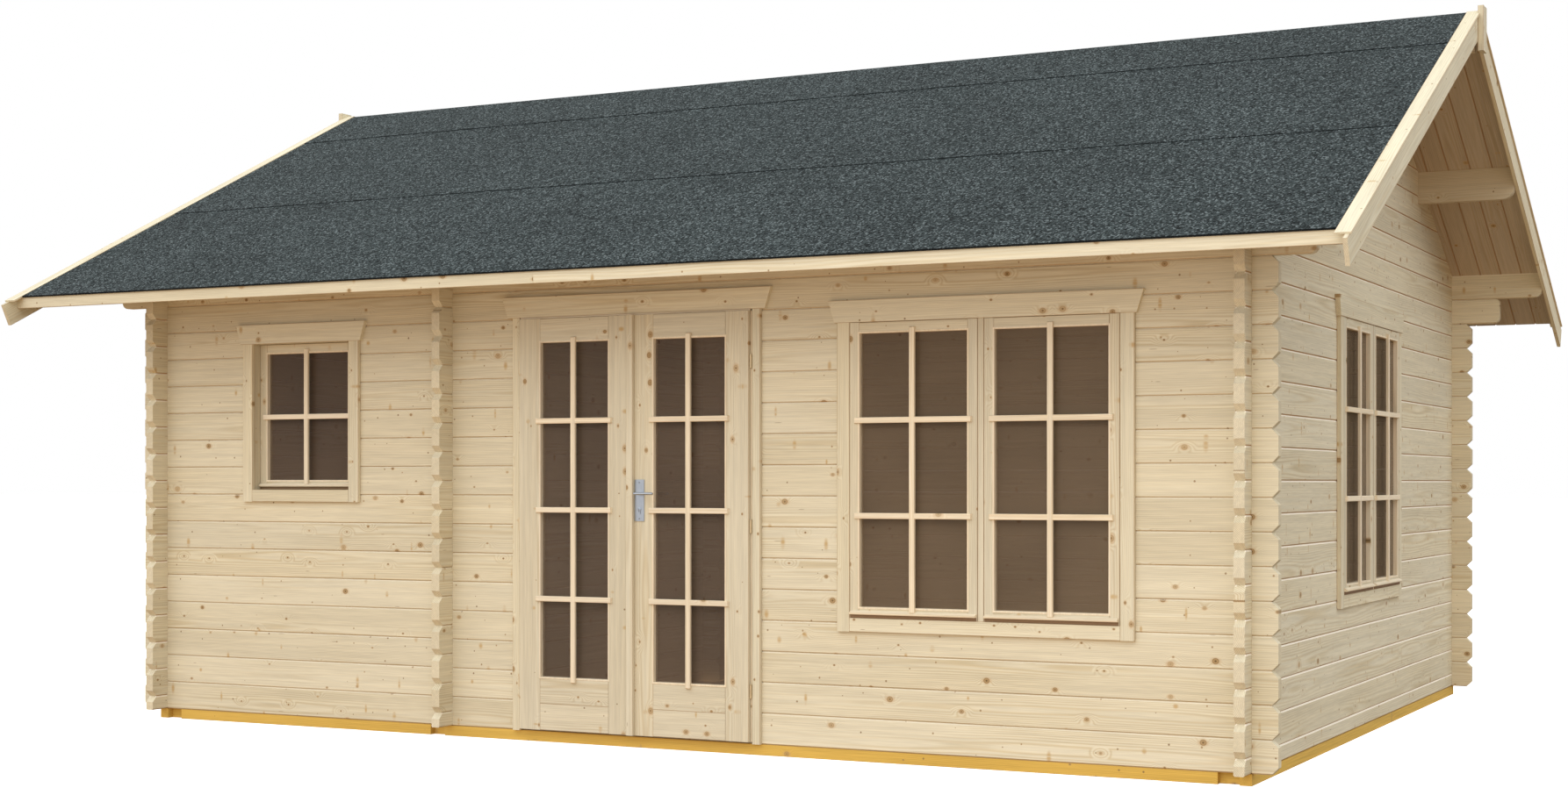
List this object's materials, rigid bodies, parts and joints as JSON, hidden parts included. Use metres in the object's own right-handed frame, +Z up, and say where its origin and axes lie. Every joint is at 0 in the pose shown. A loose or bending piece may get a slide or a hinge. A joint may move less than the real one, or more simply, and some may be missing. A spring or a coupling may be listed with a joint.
{
  "type": "log garden house",
  "caption": "Log garden house with a saddle roof, glazed double door that swings out, casement windows, an inner partition and a plank floor on a beam foundation.",
  "frame": {"origin": "on the ground, under the middle of the roof's plan", "axes": "+X along the ridge to the right seen from the front, +Y from front to back, +Z up"},
  "size_m": [6.6426, 5.4, 3.403],
  "materials": {
    "log_wood": "planed spruce with grain and small knots, untreated",
    "treated_wood": "yellow treated beam wood",
    "floor_wood": "planed floor boards, untreated",
    "roof_wood": "planed roof boards and purlins, untreated",
    "roofing_felt": "mineral-faced bitumen felt, blue-grey granules, matte",
    "trim_wood": "planed trim boards, untreated",
    "joinery_wood": "planed joinery, untreated",
    "glass": "clear sheet glass",
    "steel": "satin steel fittings"
  },
  "bodies": {
    "house": {"front_wall": "log_wood", "back_wall": "log_wood", "left_gable_wall": "log_wood", "right_gable_wall": "log_wood", "partition_wall": "log_wood", "cross_wall": "log_wood", "side_sills": "treated_wood", "front_sills": "treated_wood", "back_sills": "treated_wood", "bearers": "treated_wood", "floor_joists": "treated_wood", "floor_boards": "floor_wood", "ridge_purlin": "roof_wood", "mid_purlins": "roof_wood", "front_roof_deck": "roof_wood", "back_roof_deck": "roof_wood", "front_felt": "roofing_felt", "back_felt": "roofing_felt", "fascias": "trim_wood", "barge_boards": "trim_wood", "barge_caps": "trim_wood", "apex_plates": "trim_wood", "door_casing": "trim_wood", "front_window_casing": "trim_wood", "gable_window_casing": "trim_wood", "small_window_casing": "trim_wood", "door_frame": "joinery_wood", "front_window_frame": "joinery_wood", "gable_window_frame": "joinery_wood", "small_window_frame": "joinery_wood", "front_window_sashes": "joinery_wood", "gable_window_sashes": "joinery_wood", "small_window_sash": "joinery_wood", "front_window_glass": "glass", "gable_window_glass": "glass", "small_window_glass": "glass", "hinge_pins": "steel"},
    "left_door": {"left_leaf": "joinery_wood", "left_leaf_glass": "glass", "left_leaf_knuckles": "steel"},
    "right_door": {"right_leaf": "joinery_wood", "meeting_strip": "joinery_wood", "right_leaf_glass": "glass", "right_leaf_knuckles": "steel", "handle_plates": "steel"},
    "lever": {"handle_lever": "steel"}
  },
  "joints": [
    {"name": "left_door_hinge", "type": "hinge", "parent": "house", "child": "left_door", "pos_m": [-0.60963, -2.1483, 1], "axis": [0, 0, -1], "range_deg": [0, 105]},
    {"name": "right_door_hinge", "type": "hinge", "parent": "house", "child": "right_door", "pos_m": [0.59297, -2.1483, 1], "axis": [0, 0, 1], "range_deg": [0, 105]},
    {"name": "lever_turn", "type": "hinge", "parent": "right_door", "child": "lever", "pos_m": [0.03967, -2.19, 1.138], "axis": [0, 1, 0], "range_deg": [0, 40], "stiffness_Nm_per_rad": 1.5, "springref_deg": -28.65}
  ]
}
